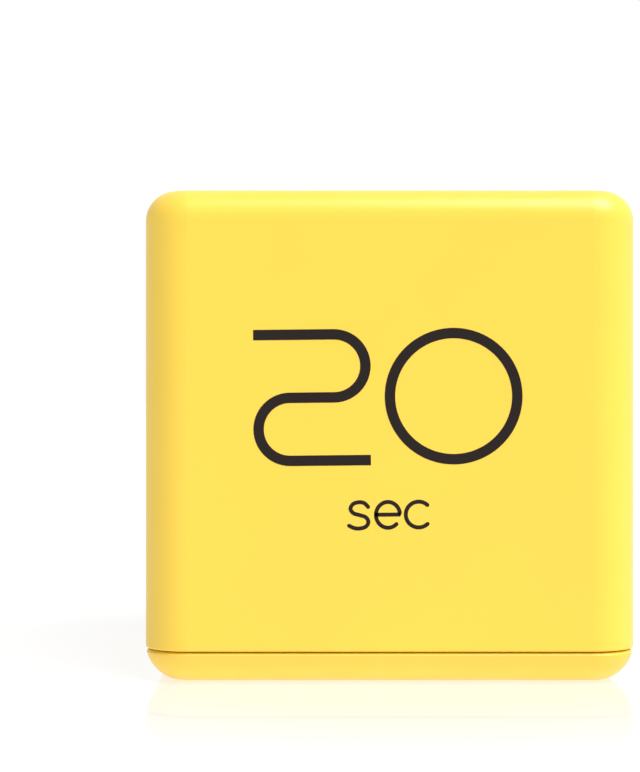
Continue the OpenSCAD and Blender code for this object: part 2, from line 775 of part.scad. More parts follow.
module lcd_holder() color(white_plastic) {
    difference() {
        box(holder_w, holder_d, pcb_top, top_in - pcb_top);
        box(lcd_w + 2 * holder_fit, lcd_d + 2 * holder_fit, upper_glass_z, glass_t + slack);
        box(lcd_w + 2 * holder_fit, lcd_lower_d + 2 * holder_fit, pcb_top - slack, zebra_h + 2 * slack);
        for (side = [-1, 1]) translate([0, side * zebra_y, 0])
            box(lcd_w + 2 * holder_fit, zebra_t + 2 * holder_fit, pcb_top - slack, zebra_h + 2 * slack);
    }
}

module zebra_strip(side) color("#6E6A66") {
    translate([0, side * zebra_y, 0]) box(lcd_w, zebra_t, pcb_top, zebra_h);
}

// Circuit board

module main_board() color(board_green) {
    difference() {
        plate(pcb_w, pcb_d, board_r, pcb_z, pcb_t);
        at_corners(pcb_hole[0], pcb_hole[1]) translate([0, 0, pcb_z - slack])
            cylinder(r = small_screw_r + through_clear, h = pcb_t + 2 * slack);
    }
}

module board_screws() color(bright_steel) {
    at_corners(pcb_hole[0], pcb_hole[1])
        pan_screw(pcb_z, small_screw_r, small_screw_l, small_head_d, small_head_h);
}

// Dome of black resin over the controller chip
module chip_blob() color(black_plastic) {
    blob_r = 6;
    blob_h = 1.7;
    translate([chip_at[0], chip_at[1], pcb_z]) rotate([180, 0, 0]) dome(blob_r, blob_h);
}

module clock_crystal() color(bright_steel) {
    can_r = 1;
    can_l = 6;
    can_gap = 0.05;
    translate([crystal_at[0], crystal_at[1], pcb_z - can_r - can_gap]) rotate([0, 90, 0])
        cylinder(r = can_r, h = can_l, center = true);
}

module storage_capacitor() color("#2E3A5C") {
    can_d = 5;
    can_h = 7;
    top_round = 0.5;
    foot_round = 0.2;
    translate([capacitor_at[0], capacitor_at[1], pcb_z - can_h])
        rotate_extrude() edge_profile(can_d / 2, can_h, top_round, foot_round);
}

// Shrouded step-up coil that drives the buzzer
module buzzer_coil() color(black_plastic) {
    coil_d = 8;
    coil_h = 6.5;
    coil_round = 0.4;
    bore_r = 1;
    bore_h = 2;
    translate([coil_at[0], coil_at[1], pcb_z - coil_h]) rotate_extrude() difference() {
        edge_profile(coil_d / 2, coil_h, coil_round, coil_round);
        square([bore_r, bore_h]);
    }
}

module drive_transistor() color(black_plastic) {
    body = [3, 1.4, 1];
    foot = [0.4, 0.8, 0.15];
    foot_x = 0.95;
    foot_y = 0.9;
    foot_drop = 0.1;
    translate([transistor_at[0], transistor_at[1], pcb_z]) {
        box(body[0], body[1], -body[2] - foot_drop, body[2]);
        for (x = [-1, 0, 1]) translate([x * foot_x, x == 0 ? foot_y : -foot_y, 0])
            box(foot[0], foot[1], -foot[2], foot[2]);
    }
}

module chip_resistors() color("#3A3A3E") {
    chip = [1.6, 0.8, 0.45];
    for (row = [0 : 2], col = [0 : 1])
        translate([resistors_at[0] + resistor_pitch * row, resistors_at[1] + resistor_pitch * col, 0])
            box(chip[0], chip[1], pcb_z - chip[2], chip[2]);
}

// Moulding with a round race for the ball, open below
module tilt_housing() color(black_plastic) {
    translate([tilt_x, tilt_y, 0]) difference() {
        box(tilt_w, tilt_w, tilt_lid_z, tilt_h);
        translate([0, 0, tilt_lid_z - slack]) difference() {
            cylinder(r = race_out_r, h = slack + ball_d + 2 * ball_clear);
            cylinder(r = race_post_r, h = tilt_h);
        }
    }
}

module tilt_ball() color(bright_steel) {
    translate([tilt_x + race_r, tilt_y, ball_z]) sphere(r = ball_r);
}

module tilt_lid() color(bright_steel) {
    translate([tilt_x, tilt_y, 0]) box(tilt_w, tilt_w, tilt_lid_z - tilt_lid_t, tilt_lid_t);
}

// Batteries and contacts

// AAA cell along +X with its nub towards +X, middle of its length at the origin
module cell() {
    foot_round = 0.5;
    shoulder_round = 0.8;
    nub_round = 0.3;
    dent_r = 0.36 * cell_d;
    dent_h = 0.2;
    rotate([0, 90, 0]) translate([0, 0, -cell_l / 2]) rotate_extrude() {
        difference() {
            edge_profile(cell_d / 2, cell_l - nub_h, foot_round, shoulder_round);
            square([dent_r, dent_h]);
        }
        edge_profile(nub_d / 2, cell_l, 0, nub_round);
    }
}

module battery_rear() color("#3F4A50") {
    translate([-cell_near_x + cell_l / 2, rear_cell_y, cell_z]) mirror([1, 0, 0]) cell();
}

module battery_front() color("#3F4A50") {
    translate([cell_near_x - cell_l / 2, front_cell_y, cell_z]) cell();
}

// Flat contact plate on the end wall at x, thickness towards the middle of the bay
module contact_plate(width) {
    translate([-bay_l / 2, -width / 2, contact_z]) cube([contact_t, width, contact_top - contact_z]);
}

module solder_tab() {
    translate([-bay_l / 2, -tab_w / 2, contact_top - slack])
        cube([contact_t, tab_w, tab_top - contact_top + slack]);
}

// Shallow dome pressed out of a plate towards the cell
module dimple() {
    dimple_r = 2;
    translate([-contact_in_x, 0, cell_z]) rotate([0, 90, 0]) dome(dimple_r, dimple_h);
}

module contact_positive() color(nickel) {
    translate([0, rear_cell_y, 0]) {
        contact_plate(contact_w);
        solder_tab();
        dimple();
    }
}

module contact_negative() color(nickel) {
    translate([0, front_cell_y, 0]) {
        contact_plate(contact_w);
        solder_tab();
    }
}

module contact_bridge() color(nickel) {
    mirror([1, 0, 0]) {
        translate([0, bay_y, 0]) contact_plate(contact_end_w);
        translate([0, front_cell_y, 0]) dimple();
    }
}

// Conical spring from its plate to the flat end of a cell, along +X
spring_touch = 0.03;
spring_steps = 16;
spring_last = floor(spring_turns * spring_steps);
spring_run = spring_l - spring_wire - 2 * spring_touch;
spring_r = [spring_big_d / 2 - spring_wire / 2, spring_small_d / 2 - spring_wire / 2];
spring_path = [for (i = [0 : spring_last])
    let (t = i / spring_last, r = spring_r[0] + (spring_r[1] - spring_r[0]) * t, a = 360 * i / spring_steps)
    [spring_wire / 2 + spring_touch + spring_run * t, r * cos(a), r * sin(a)]];
// Least open gap between one turn of the spring and the next
spring_gap = min([for (i = [0 : spring_last - spring_steps])
    norm(spring_path[i + spring_steps] - spring_path[i]) - spring_wire]);
echo(spring_gap = spring_gap);

module spring() {
    tube(spring_path, [for (p = spring_path) [0, p[1], p[2]]], spring_wire / 2, wire_facets);
}

module spring_negative() color(bright_steel) {
    translate([-contact_in_x, front_cell_y, cell_z]) spring();
}

module spring_bridge() color(bright_steel) {
    translate([contact_in_x, rear_cell_y, cell_z]) mirror([1, 0, 0]) spring();
}

// Buzzer

module buzzer_disc() color("#C9A24A") {
    translate([buzzer_x, front_y, buzzer_z]) cylinder(d = buzzer_d, h = buzzer_t);
}

module buzzer_ceramic() color("#E9E4D6") {
    translate([buzzer_x, front_y, ceramic_z]) cylinder(d = ceramic_d, h = ceramic_t);
}

// Sound switch

// Finger piece through the base, in one with the block that slides in the frame
module switch_knob() color(black_plastic) {
    ridge_w = 0.5;
    translate([switch_x, front_y, 0]) difference() {
        union() {
            box(knob_l, knob_w, knob_recess, block_z - knob_recess + root);
            box(block_l, block_w, block_z, block_h);
        }
        for (x = [-1, 0, 1]) translate([x * knob_l / 4, 0, 0])
            box(ridge_w, knob_w + slack, knob_recess - slack, slack + ridge_w);
    }
}

// Sprung strip on the block, with two arches that run along the terminals
module switch_wiper() color(nickel) {
    translate([switch_x, front_y, block_top]) rotate([90, 0, 0]) linear_extrude(wiper_w, center = true) {
        translate([-2 * wiper_h - wiper_t, 0]) square([4 * wiper_h + 2 * wiper_t, wiper_t]);
        for (side = [-1, 1]) translate([side * wiper_h, 0]) intersection() {
            difference() {
                circle(wiper_h);
                circle(wiper_h - wiper_t);
            }
            translate([-wiper_h, 0]) square([2 * wiper_h, wiper_h]);
        }
    }
}

// Folded metal frame, open towards the board, with a slot for the knob
module switch_frame() color(nickel) {
    translate([switch_x, front_y, 0]) difference() {
        box(frame_l, frame_w, frame_z, frame_h);
        box(frame_in_l, frame_in_w, frame_z + frame_t, frame_h);
        box(slot_l, slot_w, frame_z - slack, frame_t + 2 * slack);
    }
}

module switch_insulator() color("#8A5A33") {
    translate([switch_x, front_y, 0])
        box(frame_in_l - slide_gap, frame_in_w - slide_gap, frame_top - insulator_t, insulator_t);
}

module switch_board() color(board_green) {
    translate([switch_x, front_y, 0]) difference() {
        plate(switch_board_l, switch_board_w, switch_board_r, frame_top, pcb_t);
        for (side = [-1, 1]) translate([side * switch_post_x, 0, frame_top - slack])
            cylinder(r = small_screw_r + through_clear, h = pcb_t + 2 * slack);
    }
}

module switch_screws() color(bright_steel) {
    for (side = [-1, 1]) translate([switch_x + side * switch_post_x, front_y, switch_board_top])
        rotate([180, 0, 0]) pan_screw(0, small_screw_r, small_screw_l, small_head_d, small_head_h);
}

// Leads

lead_rise = (pcb_z - tab_top) / 2;
tab_x = -bay_l / 2 + contact_t / 2;
pad_x = pcb_w / 2 - pad_in;
pad_y = pcb_d / 2 - 2 * pad_in;
small_pad_y = front_y + switch_board_w / 2 - small_pad_in;

module lead_battery_plus() color("#B5282A") {
    lead([tab_x, rear_cell_y, tab_top], [switch_x - pad_pitch, small_pad_y, switch_board_top],
         lead_rise, lead_rise);
}

module lead_battery_minus() color("#1F1F22") {
    lead([tab_x, front_cell_y, tab_top], [-pad_x, 2 * pad_pitch, pcb_z], lead_rise, -lead_rise);
}

module lead_switch_low() color("#E6E2D8") {
    lead([switch_x, small_pad_y, switch_board_top], [pad_x - pad_pitch, 0, pcb_z], lead_rise, -lead_rise);
}

module lead_switch_high() color("#D97B2B") {
    lead([switch_x + pad_pitch, small_pad_y, switch_board_top], [pad_x, 0, pcb_z], lead_rise, -lead_rise);
}

module lead_buzzer_brass() color("#1F1F22") {
    lead([buzzer_x - (buzzer_d + ceramic_d) / 4, front_y, ceramic_z], [-pad_x + pad_pitch, -pad_y, pcb_z],
         lead_rise, -lead_rise);
}

module lead_buzzer_ceramic() color("#B5282A") {
    lead([buzzer_x + lead_d, front_y, ceramic_z + ceramic_t], [-2 * pad_pitch, -pad_y, pcb_z],
         lead_rise, -lead_rise);
}

main_shell();
base_cover();
battery_door();
case_screws();
window_lens();
window_tape();
lcd_glass();
lcd_holder();
zebra_strip(-1);  // zebra_strip_front
zebra_strip(1);  // zebra_strip_rear
main_board();
board_screws();
chip_blob();
clock_crystal();
storage_capacitor();
buzzer_coil();
drive_transistor();
chip_resistors();
tilt_housing();
tilt_ball();
tilt_lid();
battery_rear();
battery_front();
contact_positive();
contact_negative();
contact_bridge();
spring_negative();
spring_bridge();
buzzer_disc();
buzzer_ceramic();
switch_knob();
switch_wiper();
switch_frame();
switch_insulator();
switch_board();
switch_screws();
lead_battery_plus();
lead_battery_minus();
lead_switch_low();
lead_switch_high();
lead_buzzer_brass();
lead_buzzer_ceramic();
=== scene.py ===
import math

import bmesh
import bpy
from mathutils import Matrix, Vector


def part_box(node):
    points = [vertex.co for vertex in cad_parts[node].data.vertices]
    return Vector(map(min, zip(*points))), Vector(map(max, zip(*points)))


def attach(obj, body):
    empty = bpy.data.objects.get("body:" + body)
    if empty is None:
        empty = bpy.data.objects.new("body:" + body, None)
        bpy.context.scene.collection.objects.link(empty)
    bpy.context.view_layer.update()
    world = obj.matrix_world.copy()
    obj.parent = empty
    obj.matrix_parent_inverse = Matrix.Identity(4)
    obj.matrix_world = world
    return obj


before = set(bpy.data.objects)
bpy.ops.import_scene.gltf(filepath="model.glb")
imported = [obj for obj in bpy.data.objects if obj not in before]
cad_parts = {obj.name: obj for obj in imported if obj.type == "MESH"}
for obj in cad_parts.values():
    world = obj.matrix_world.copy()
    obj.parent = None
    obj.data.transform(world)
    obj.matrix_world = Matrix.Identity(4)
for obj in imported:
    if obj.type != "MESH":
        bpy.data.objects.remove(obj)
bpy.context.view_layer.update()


# Main shell, base cover and battery door.
# Injection-moulded ABS, coloured yellow right through, with a fine satin texture from the mould.
# Four screws pull the cover up into the shell; the door hooks into the cover by two tongues.

MM = 0.001
CASE_HALF = 33.0
CASE_YELLOW = (0.99, 0.67, 0.071, 1)
RUBBED_YELLOW = (0.99, 0.72, 0.105, 1)
RUBBED_TINT, RUBBED_POLISH = 0.35, 0.1
RUB_START, RUB_FULL = 0.86, 0.985
RUB_SCALE, RUB_DETAIL = 220.0, 4.0
RUB_PATCH_LOW, RUB_PATCH_HIGH = 0.3, 0.65
NOISE_MIDDLE, PLAIN_HUE, PLAIN_SPECULAR = 0.5, 0.5, 0.5
GRAIN_DETAIL, GRAIN_DULLS = 2.0, 0.12
CLOUD_SCALE, CLOUD_DETAIL, CLOUD_DULLS = 55.0, 3.0, 0.16
DRIFT_HUE = 0.02
MOULD_DEPTH, MOULD_STRENGTH = 0.012, 0.25


def set_inputs(node, values):
    """Sets a node's own inputs by name."""
    for label, value in values.items():
        node.inputs[label].default_value = value


def new_effect(name, inputs, outputs):
    """Shared effect as a shader node group; returns it with its two end nodes."""
    effect = bpy.data.node_groups.new(name, "ShaderNodeTree")
    for label, kind in inputs:
        effect.interface.new_socket(label, in_out="INPUT", socket_type="NodeSocket" + kind)
    for label, kind in outputs:
        effect.interface.new_socket(label, in_out="OUTPUT", socket_type="NodeSocket" + kind)
    return effect, effect.nodes.new("NodeGroupInput"), effect.nodes.new("NodeGroupOutput")


def add_effect(tree, effect, values):
    """Places a shared effect in a material with its own values."""
    made = tree.nodes.new("ShaderNodeGroup")
    made.node_tree = effect
    set_inputs(made, values)
    return made


def maths(tree, operation, *values):
    """Math node whose inputs are numbers or sockets; returns its output."""
    made = tree.nodes.new("ShaderNodeMath")
    made.operation = operation
    for socket, value in zip(made.inputs, values):
        if isinstance(value, (int, float)):
            socket.default_value = value
        else:
            tree.links.new(value, socket)
    return made.outputs[0]


def ranged(tree, value, low, high, first=0.0, last=1.0, smooth=False):
    """Takes a value from the range low to high over to the range first to last; returns the output."""
    made = tree.nodes.new("ShaderNodeMapRange")
    made.interpolation_type = "SMOOTHSTEP" if smooth else "LINEAR"
    set_inputs(made, {"From Min": low, "From Max": high, "To Min": first, "To Max": last})
    tree.links.new(value, made.inputs["Value"])
    return made.outputs[0]


def own_place(tree):
    """Place on the piece in its own coordinates, in metres, which move with it; returns the output."""
    return tree.nodes.new("ShaderNodeTexCoord").outputs["Object"]


def noise(tree, scale, detail):
    """Noise that stays put on the piece; returns its factor."""
    made = tree.nodes.new("ShaderNodeTexNoise")
    made.inputs["Detail"].default_value = detail
    if isinstance(scale, (int, float)):
        made.inputs["Scale"].default_value = scale
    else:
        tree.links.new(scale, made.inputs["Scale"])
    tree.links.new(own_place(tree), made.inputs["Vector"])
    return made.outputs["Fac"]


def laid_over(tree, mask, under, color):
    """Lays a colour over another where the mask says; returns the mixed colour."""
    made = tree.nodes.new("ShaderNodeMix")
    made.data_type = "RGBA"
    made.inputs["B"].default_value = color
    tree.links.new(mask, made.inputs["Factor"])
    tree.links.new(under, made.inputs["A"])
    return made.outputs["Result"]


def make_moulded_surface():
    """Fine grain, faint colour drift and uneven gloss of a moulded surface."""
    effect, given, out = new_effect(
        "moulded_surface",
        [("Color", "Color"), ("Roughness", "Float"), ("Grain", "Float"), ("Drift", "Float")],
        [("Color", "Color"), ("Roughness", "Float"), ("Height", "Float")])
    grain = noise(effect, given.outputs["Grain"], GRAIN_DETAIL)
    grain_swing = maths(effect, "SUBTRACT", grain, NOISE_MIDDLE)
    cloud_swing = maths(effect, "SUBTRACT", noise(effect, CLOUD_SCALE, CLOUD_DETAIL), NOISE_MIDDLE)
    drift = maths(effect, "MULTIPLY", cloud_swing, given.outputs["Drift"])
    tint = effect.nodes.new("ShaderNodeHueSaturation")
    hue = maths(effect, "ADD", PLAIN_HUE, maths(effect, "MULTIPLY", drift, DRIFT_HUE))
    effect.links.new(given.outputs["Color"], tint.inputs["Color"])
    effect.links.new(maths(effect, "ADD", 1.0, drift), tint.inputs["Value"])
    effect.links.new(hue, tint.inputs["Hue"])
    effect.links.new(tint.outputs["Color"], out.inputs["Color"])
    uneven = maths(effect, "ADD", maths(effect, "MULTIPLY", grain_swing, GRAIN_DULLS),
                   maths(effect, "MULTIPLY", cloud_swing, CLOUD_DULLS))
    effect.links.new(maths(effect, "ADD", given.outputs["Roughness"], uneven), out.inputs["Roughness"])
    effect.links.new(grain, out.inputs["Height"])
    return effect


def make_rubbed_edges():
    """Where hands and tables rub the cube: its rounded edges and corners, broken up by noise."""
    effect, given, out = new_effect("rubbed_edges", [("Half", "Float")], [("Mask", "Float")])
    half = given.outputs["Half"]
    split = effect.nodes.new("ShaderNodeSeparateXYZ")
    effect.links.new(own_place(effect), split.inputs[0])
    off_x = maths(effect, "ABSOLUTE", split.outputs["X"])
    off_y = maths(effect, "ABSOLUTE", split.outputs["Y"])
    off_z = maths(effect, "ABSOLUTE", maths(effect, "SUBTRACT", split.outputs["Z"], half))
    total = maths(effect, "ADD", maths(effect, "ADD", off_x, off_y), off_z)
    most = maths(effect, "MAXIMUM", maths(effect, "MAXIMUM", off_x, off_y), off_z)
    least = maths(effect, "MINIMUM", maths(effect, "MINIMUM", off_x, off_y), off_z)
    second = maths(effect, "SUBTRACT", maths(effect, "SUBTRACT", total, most), least)
    near = ranged(effect, maths(effect, "DIVIDE", second, half), RUB_START, RUB_FULL, smooth=True)
    patchy = ranged(effect, noise(effect, RUB_SCALE, RUB_DETAIL), RUB_PATCH_LOW, RUB_PATCH_HIGH)
    effect.links.new(maths(effect, "MULTIPLY", near, patchy), out.inputs["Mask"])
    return effect


moulded_surface = make_moulded_surface()
rubbed_edges = make_rubbed_edges()


def finished(name, effect, values, depth, strength):
    """Material with colour, roughness and fine relief from a shared effect; depth in millimetres."""
    made = bpy.data.materials.new(name)
    made.use_nodes = True
    tree = made.node_tree
    shader = tree.nodes["Principled BSDF"]
    surface = add_effect(tree, effect, values)
    surface.name = "surface"
    tree.links.new(surface.outputs["Color"], shader.inputs["Base Color"])
    tree.links.new(surface.outputs["Roughness"], shader.inputs["Roughness"])
    bump = tree.nodes.new("ShaderNodeBump")
    set_inputs(bump, {"Strength": strength, "Distance": depth * MM})
    tree.links.new(surface.outputs["Height"], bump.inputs["Height"])
    tree.links.new(bump.outputs["Normal"], shader.inputs["Normal"])
    return made


def opened(material):
    """A finished material's node tree, its shader and its surface effect."""
    tree = material.node_tree
    return tree, tree.nodes["Principled BSDF"], tree.nodes["surface"]


def moulded(name, color, roughness, grain, drift,
            depth=MOULD_DEPTH, strength=MOULD_STRENGTH, specular=PLAIN_SPECULAR):
    """Material of a moulded, cast or coated surface: grain is how fine, drift how far its tone strays."""
    values = {"Color": color, "Roughness": roughness, "Grain": grain, "Drift": drift}
    made = finished(name, moulded_surface, values, depth, strength)
    opened(made)[1].inputs["Specular IOR Level"].default_value = specular
    return made


def dress(material, *names):
    """Gives CAD nodes a material."""
    for name in names:
        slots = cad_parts[name].data.materials
        slots.clear()
        slots.append(material)


case_plastic = moulded("case_plastic", CASE_YELLOW, roughness=0.4, grain=2600.0, drift=0.05)
tree, shader, surface = opened(case_plastic)
rub = add_effect(tree, rubbed_edges, {"Half": CASE_HALF * MM}).outputs["Mask"]
tinted = maths(tree, "MULTIPLY", rub, RUBBED_TINT)
polished = maths(tree, "MULTIPLY", rub, RUBBED_POLISH)
tree.links.new(laid_over(tree, tinted, surface.outputs["Color"], RUBBED_YELLOW), shader.inputs["Base Color"])
tree.links.new(maths(tree, "SUBTRACT", surface.outputs["Roughness"], polished), shader.inputs["Roughness"])
dress(case_plastic, "main_shell", "base_cover", "battery_door")


# Printed times on the four sides.
# One coat of near-black ink, pad printed on the finished shell, a few hundredths of a millimetre thick.
# Each side carries plain monoline numerals and a small word for seconds; the front print is a little askew.

INK = (0.012, 0.0065, 0.0055, 1)
INK_LOW, INK_HIGH, INK_OVERLAP = -0.02, 0.02, 0.004
NUMERAL_Z, NUMERAL_HALF, NUMERAL_STROKE = 38.27, 8.366, 1.39
BOWL, BOWL_STEPS = NUMERAL_HALF / 2, 28
NOUGHT_WIDE, NOUGHT_TALL, NOUGHT_STEPS = 8.45, 8.37, 96
ONE_FLAG = -3.6
TWO_LEFT, TWO_RIGHT, UPPER_BOWL_X, LOWER_BOWL_X = -7.71, 7.75, 2.97, -2.93
THREE_LEFT, THREE_WAIST = -7.78, -4.2
SIX_RIGHT, SIX_TOP_X, SIX_LEFT, SIX_BOWL_X, SIX_BAR = 6.4, 0.6, -7.7, 3.6, -7.4
SIX_TOP_STEPS, SIX_CORNER_STEPS = 30, 16
WORD_Z, WORD_STROKE, WORD_HALF = 22.61, 0.53, 1.711
WORD_S = [(1.21, 1.08), (0.72, 1.58), (0.03, 1.72), (-0.78, 1.48), (-1.13, 0.84), (-0.72, 0.25), (0.1, 0.0),
          (0.9, -0.3), (1.23, -0.93), (0.85, -1.55), (-0.05, -1.775), (-0.8, -1.66), (-1.34, -1.39)]
WORD_S_STEPS = 6
WORD_E_HALF, WORD_E_BAR, WORD_E_TURN, WORD_E_STEPS = 1.595, 0.03, (1, 314), 60
WORD_C_TURN, WORD_C_STEPS = (47, 313), 54
WORD_S_X, WORD_E_X, WORD_C_X = -4.38, -0.54, 3.53
ROUND_END = (25, 50, 70, 84)
FRONT_TILT = 0.6


def arc(cx, cy, rx, ry, start, end, steps):
    """Points of an elliptical arc, angles in degrees."""
    angles = [math.radians(start + (end - start) * i / steps) for i in range(steps + 1)]
    return [(cx + rx * math.cos(a), cy + ry * math.sin(a)) for a in angles]


def flowing(points, steps):
    """Smooth curve through points."""
    ends = [points[0]] + list(points) + [points[-1]]
    found = []
    for a, b, c, d in zip(ends, ends[1:], ends[2:], ends[3:]):
        for i in range(steps):
            t = i / steps
            found.append(tuple(0.5 * (2 * q + (r - p) * t + (2 * p - 5 * q + 4 * r - s) * t * t
                                      + (3 * q - p - 3 * r + s) * t ** 3) for p, q, r, s in zip(a, b, c, d)))
    return found + [tuple(points[-1])]


def shift(path, dx, dy):
    """The same path, moved across and up."""
    return [(x + dx, y + dy) for x, y in path]


def on_side(quarter_turns, tilt):
    """Where a point of a side's print lies: across, up and out from the side, in millimetres."""
    turn = Matrix.Rotation(quarter_turns * math.pi / 2, 3, "Z")
    skew = math.radians(tilt)

    def place(u, v, out):
        rise = v - NUMERAL_Z
        across = u * math.cos(skew) - rise * math.sin(skew)
        up = NUMERAL_Z + u * math.sin(skew) + rise * math.cos(skew)
        return turn @ Vector((across, -CASE_HALF - out, up)) * MM
    return place


def add_stroke(bm, place, path, width, low, high, closed=False, round_ends=False):
    """Adds a ribbon of even width and thickness along a path."""
    points = [Vector(p) for p in path]
    if closed:
        points = points[:-1]
    count = len(points)
    rows = []
    for i, p in enumerate(points):
        ahead = points[(i + 1) % count] if closed or i < count - 1 else p
        behind = points[i - 1] if closed or i > 0 else p
        rows.append((p, (ahead - behind).normalized(), width / 2))
    if round_ends:
        bends = [math.radians(a) for a in ROUND_END]
        first, first_way, _ = rows[0]
        last, last_way, _ = rows[-1]
        before = [(first - first_way * width / 2 * math.sin(a), first_way, width / 2 * math.cos(a))
                  for a in reversed(bends)]
        after = [(last + last_way * width / 2 * math.sin(a), last_way, width / 2 * math.cos(a))
                 for a in bends]
        rows = before + rows + after
    rings = []
    for p, along, half in rows:
        side = Vector((-along.y, along.x)) * half
        corners = ((1, high), (-1, high), (-1, low), (1, low))
        rings.append([bm.verts.new(place(*(p + s * side), h)) for s, h in corners])
    following = rings[1:] + rings[:1] if closed else rings[1:]
    for a, b in zip(rings, following):
        for k in range(4):
            bm.faces.new((a[k], a[(k + 1) % 4], b[(k + 1) % 4], b[k]))
    if not closed:
        bm.faces.new(rings[0])
        bm.faces.new(list(reversed(rings[-1])))


def finish_piece(name, bm, material, body):
    """Turns the built mesh into a named piece that rides on a body."""
    bmesh.ops.recalc_face_normals(bm, faces=bm.faces)
    mesh = bpy.data.meshes.new(name)
    bm.to_mesh(mesh)
    bm.free()
    mesh.materials.append(material)
    piece = bpy.data.objects.new(name, mesh)
    bpy.context.scene.collection.objects.link(piece)
    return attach(piece, body)


upper_bowl = arc(UPPER_BOWL_X, BOWL, BOWL, BOWL, 90, -90, BOWL_STEPS)
numerals = {
    "0": [arc(0, 0, NOUGHT_WIDE, NOUGHT_TALL, 90, 450, NOUGHT_STEPS)],
    "1": [[(0, NUMERAL_HALF + NUMERAL_STROKE / 2), (0, -NUMERAL_HALF - NUMERAL_STROKE / 2)],
          [(ONE_FLAG, NUMERAL_HALF), (0, NUMERAL_HALF)]],
    "2": [[(TWO_LEFT, NUMERAL_HALF)] + upper_bowl
          + arc(LOWER_BOWL_X, -BOWL, BOWL, BOWL, 90, 270, BOWL_STEPS) + [(TWO_RIGHT, -NUMERAL_HALF)]],
    "3": [[(THREE_LEFT, NUMERAL_HALF)] + upper_bowl + [(THREE_WAIST, 0)],
          shift(upper_bowl, 0, -NUMERAL_HALF) + [(THREE_LEFT, -NUMERAL_HALF)]],
    "6": [[(SIX_RIGHT, NUMERAL_HALF)]
          + arc(SIX_TOP_X, 0, NUMERAL_HALF, NUMERAL_HALF, 90, 180, SIX_TOP_STEPS)
          + arc(SIX_LEFT + BOWL, -BOWL, BOWL, BOWL, 180, 270, SIX_CORNER_STEPS)
          + arc(SIX_BOWL_X, -BOWL, BOWL, BOWL, -90, 90, BOWL_STEPS) + [(SIX_BAR, 0)]],
}
letter_s = flowing(WORD_S, WORD_S_STEPS)
letter_e = [(-WORD_E_HALF, WORD_E_BAR)] + arc(0, 0, WORD_E_HALF, WORD_HALF, *WORD_E_TURN, WORD_E_STEPS)
letter_c = arc(0, 0, WORD_HALF, WORD_HALF, *WORD_C_TURN, WORD_C_STEPS)
ink = moulded("printed_ink", INK, roughness=0.5, grain=1500.0, drift=0.3, specular=0.2)

# Side, quarter turns from the front, tilt in degrees, and each numeral with its place across the side.
side_prints = [
    ("front", 0, FRONT_TILT, [("2", -10.48), ("0", 8.33)]),
    ("right", 1, 0.0, [("3", -10.48), ("0", 8.33)]),
    ("rear", 2, 0.0, [("6", -10.4), ("0", 8.33)]),
    ("left", 3, 0.0, [("1", -8.6), ("0", 4.4)]),
]
for side_name, quarter_turns, tilt, digits in side_prints:
    bm = bmesh.new()
    place = on_side(quarter_turns, tilt)
    # A numeral's second stroke is a hair thicker, so that crossing strokes don't share a surface.
    for digit, across in digits:
        for layer, path in enumerate(numerals[digit]):
            add_stroke(bm, place, shift(path, across, NUMERAL_Z), NUMERAL_STROKE,
                       INK_LOW, INK_HIGH + INK_OVERLAP * layer, closed=digit == "0")
    for path, across in ((letter_s, WORD_S_X), (letter_e, WORD_E_X), (letter_c, WORD_C_X)):
        add_stroke(bm, place, shift(path, across, WORD_Z), WORD_STROKE, INK_LOW, INK_HIGH, round_ends=True)
    finish_piece("print_" + side_name, bm, ink, "case")


# Case, board and switch screws.
# Zinc-plated steel, cold headed with a cross recess and rolled; they cut their own thread in the plastic.
# The case screws sit deep in the base, the others hold the two boards.

SCREW_ZINC = (0.6, 0.61, 0.62, 1)
METAL_FINE_SCALE, METAL_FINE_DETAIL, METAL_FINE_DULLS = 5200.0, 3.0, 0.3
METAL_BROAD_SCALE, METAL_BROAD_DETAIL = 420.0, 2.0
METAL_DARKEST, METAL_SPREAD = 0.85, 0.3
METAL_DEPTH, METAL_STRENGTH = 0.01, 0.2


def make_drawn_metal():
    """Uneven tone and gloss of plated or drawn metal, with fine marks."""
    effect, given, out = new_effect(
        "drawn_metal",
        [("Color", "Color"), ("Roughness", "Float")],
        [("Color", "Color"), ("Roughness", "Float"), ("Height", "Float")])
    fine = noise(effect, METAL_FINE_SCALE, METAL_FINE_DETAIL)
    broad = noise(effect, METAL_BROAD_SCALE, METAL_BROAD_DETAIL)
    tint = effect.nodes.new("ShaderNodeHueSaturation")
    tone = maths(effect, "ADD", METAL_DARKEST, maths(effect, "MULTIPLY", broad, METAL_SPREAD))
    effect.links.new(given.outputs["Color"], tint.inputs["Color"])
    effect.links.new(tone, tint.inputs["Value"])
    effect.links.new(tint.outputs["Color"], out.inputs["Color"])
    uneven = maths(effect, "MULTIPLY", maths(effect, "SUBTRACT", fine, NOISE_MIDDLE), METAL_FINE_DULLS)
    effect.links.new(maths(effect, "ADD", given.outputs["Roughness"], uneven), out.inputs["Roughness"])
    effect.links.new(fine, out.inputs["Height"])
    return effect


drawn_metal = make_drawn_metal()


def metal(name, color, roughness):
    """Material of a bare or plated metal piece."""
    values = {"Color": color, "Roughness": roughness}
    made = finished(name, drawn_metal, values, METAL_DEPTH, METAL_STRENGTH)
    opened(made)[1].inputs["Metallic"].default_value = 1.0
    return made


dress(metal("plated_screws", SCREW_ZINC, roughness=0.32), "case_screws", "board_screws", "switch_screws")


# Display window and its adhesive frame.
# Clear acrylic sheet, cut and polished, stuck flush into the top face by a die-cut black adhesive frame.
# The frame shows through as a dark border round the display.

